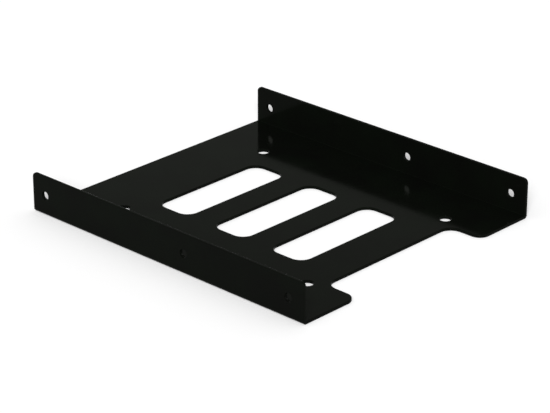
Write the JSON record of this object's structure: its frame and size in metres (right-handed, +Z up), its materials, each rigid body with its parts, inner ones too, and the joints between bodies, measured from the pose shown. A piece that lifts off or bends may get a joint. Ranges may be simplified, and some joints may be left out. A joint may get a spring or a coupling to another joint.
{
  "type": "drive bay adapter bracket",
  "caption": "Folded steel tray with two side flanges, slots and screw holes that carries a small drive in a larger drive bay.",
  "frame": {"origin": "middle of the bracket's length and width, on its underside", "axes": "+X across the bracket, +Y towards the straight back edge, +Z up out of the tray"},
  "size_m": [0.1, 0.113, 0.0131],
  "materials": {
    "black_paint": "semi-gloss black powder coat"
  },
  "bodies": {
    "root": {"adapter_bracket": "black_paint"}
  },
  "joints": []
}
